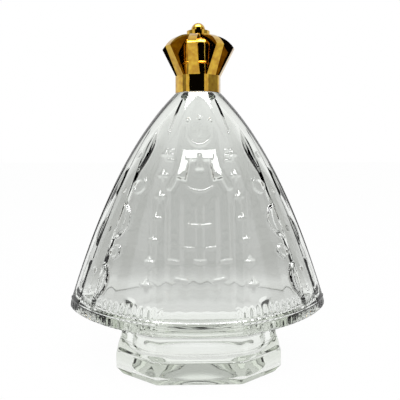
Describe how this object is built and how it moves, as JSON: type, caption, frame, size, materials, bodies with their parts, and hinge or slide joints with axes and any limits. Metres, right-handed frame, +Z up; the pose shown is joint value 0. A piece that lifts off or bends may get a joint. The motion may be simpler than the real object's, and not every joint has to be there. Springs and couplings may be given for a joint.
{
  "type": "holy water bottle",
  "caption": "Clear moulded-glass bottle shaped as a mantled figure on an octagonal foot, closed by a gold crown screw cap, for keeping and pouring holy water.",
  "frame": {"origin": "middle of the foot's resting face", "axes": "+Z up along the neck's axis, front of the figure towards -Y, +X to the viewer's right"},
  "size_m": [0.185, 0.112, 0.2437],
  "materials": {
    "flint_glass": "fire-polished clear moulded glass",
    "foam_liner": "expanded polyethylene foam",
    "insert_plastic": "natural moulded polypropylene",
    "gold_metallised": "vacuum-metallised gold under clear lacquer, mirror-like"
  },
  "bodies": {
    "bottle": {"glass_bottle": "flint_glass"},
    "seal": {"seal_liner": "foam_liner"},
    "cap": {"screw_insert": "insert_plastic", "crown_shell": "gold_metallised", "finial": "gold_metallised"}
  },
  "joints": [
    {"name": "cap_lift", "type": "slide", "parent": "bottle", "child": "seal", "axis": [0, 0, 1], "range_m": [0, 0.06]},
    {"name": "cap_turn", "type": "hinge", "parent": "seal", "child": "cap", "pos_m": [0, 0, 0.2], "axis": [0, 0, 1], "range_deg": [0, 360]}
  ]
}
